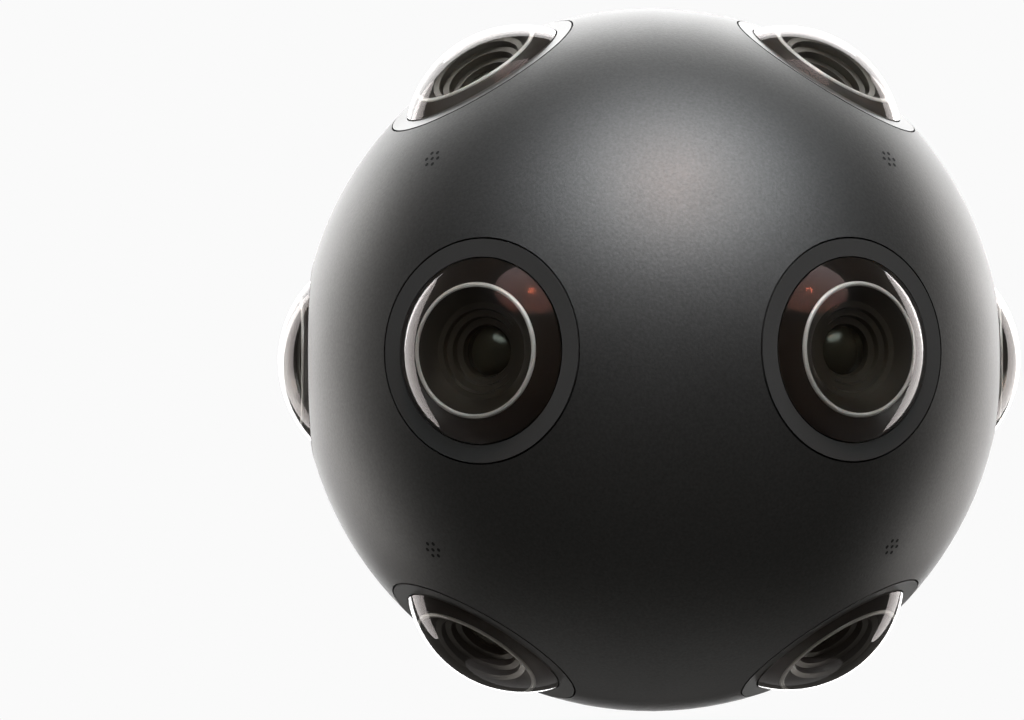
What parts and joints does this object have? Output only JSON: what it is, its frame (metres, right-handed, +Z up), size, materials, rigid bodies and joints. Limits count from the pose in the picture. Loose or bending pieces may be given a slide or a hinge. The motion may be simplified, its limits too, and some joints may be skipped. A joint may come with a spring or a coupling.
{
  "type": "360 degree camera",
  "caption": "Ball-shaped 360 degree camera with fisheye lenses all round and a tail that holds a sliding battery and memory cartridge, with ports, a vent and tripod threads.",
  "frame": {"origin": "mouth of the large tripod thread, on the axis of that thread, in the face of the tripod plate", "axes": "+Z up; -Y is where the camera looks, so +Y runs along the tail to its end; +X is the operator's left"},
  "size_m": [0.17, 0.264, 0.16],
  "materials": {
    "shell_metal": "bead-blasted, dark grey anodised, satin",
    "bezel_metal": "dark grey anodised, satin",
    "cartridge_metal": "bead-blasted, dark grey anodised, satin",
    "barrel_metal": "black anodised",
    "frame_metal": "plain, machined",
    "grille_metal": "black anodised",
    "button_metal": "grey anodised, satin",
    "plate_steel": "brushed stainless steel",
    "connector_metal": "nickel plated",
    "microphone_metal": "nickel plated can",
    "lens_glass": "coated optical glass",
    "gasket_rubber": "black, matt",
    "circuit_board": "green solder mask",
    "black_plastic": "black, fine texture",
    "latch_plastic": "dark grey, fine texture",
    "light_plastic": "clear light pipe",
    "cell_sleeve": "blue shrink sleeve"
  },
  "bodies": {
    "camera_body": {"bezel_front_left": "bezel_metal", "front_lens_front_left": "lens_glass", "lens_barrel_front_left": "barrel_metal", "sensor_board_front_left": "circuit_board", "bezel_front_right": "bezel_metal", "front_lens_front_right": "lens_glass", "lens_barrel_front_right": "barrel_metal", "sensor_board_front_right": "circuit_board", "bezel_side_left": "bezel_metal", "front_lens_side_left": "lens_glass", "lens_barrel_side_left": "barrel_metal", "sensor_board_side_left": "circuit_board", "bezel_side_right": "bezel_metal", "front_lens_side_right": "lens_glass", "lens_barrel_side_right": "barrel_metal", "sensor_board_side_right": "circuit_board", "bezel_upper_left": "bezel_metal", "front_lens_upper_left": "lens_glass", "lens_barrel_upper_left": "barrel_metal", "sensor_board_upper_left": "circuit_board", "bezel_upper_right": "bezel_metal", "front_lens_upper_right": "lens_glass", "lens_barrel_upper_right": "barrel_metal", "sensor_board_upper_right": "circuit_board", "bezel_lower_left": "bezel_metal", "front_lens_lower_left": "lens_glass", "lens_barrel_lower_left": "barrel_metal", "sensor_board_lower_left": "circuit_board", "bezel_lower_right": "bezel_metal", "front_lens_lower_right": "lens_glass", "lens_barrel_lower_right": "barrel_metal", "sensor_board_lower_right": "circuit_board", "front_shell": "shell_metal", "shell_gasket": "gasket_rubber", "rear_shell": "shell_metal", "inner_lenses": "lens_glass", "microphones": "microphone_metal", "core_frame": "frame_metal", "main_board": "circuit_board", "heat_sink": "frame_metal", "fan_frame": "black_plastic", "power_board": "circuit_board", "dock_socket": "black_plastic", "exhaust_grille": "grille_metal", "intake_grille": "grille_metal", "connector_plate": "black_plastic", "video_jack": "connector_metal", "power_inlet": "connector_metal", "button_board": "circuit_board", "status_light": "light_plastic", "tripod_plate": "plate_steel", "plate_screws": "plate_steel"},
    "cartridge": {"cartridge_case": "cartridge_metal", "cartridge_cap": "cartridge_metal", "battery_cells": "cell_sleeve", "cell_pads": "black_plastic", "storage_board": "circuit_board"},
    "latch": {"cartridge_latch": "latch_plastic"},
    "button": {"power_button": "button_metal"},
    "fan": {"fan_rotor": "black_plastic"}
  },
  "joints": [
    {"name": "cartridge_slide", "type": "slide", "parent": "camera_body", "child": "cartridge", "axis": [0, 1, 0], "range_m": [0, 0.04]},
    {"name": "latch_slide", "type": "slide", "parent": "camera_body", "child": "latch", "axis": [0, -1, 0], "range_m": [0, 0.005], "stiffness_N_per_m": 300},
    {"name": "button_press", "type": "slide", "parent": "camera_body", "child": "button", "axis": [0, 0, -1], "range_m": [0, 0.0012], "stiffness_N_per_m": 800},
    {"name": "fan_spin", "type": "hinge", "parent": "camera_body", "child": "fan", "pos_m": [0, -0.027, 0.047], "axis": [0, 1, 0], "continuous": true}
  ]
}
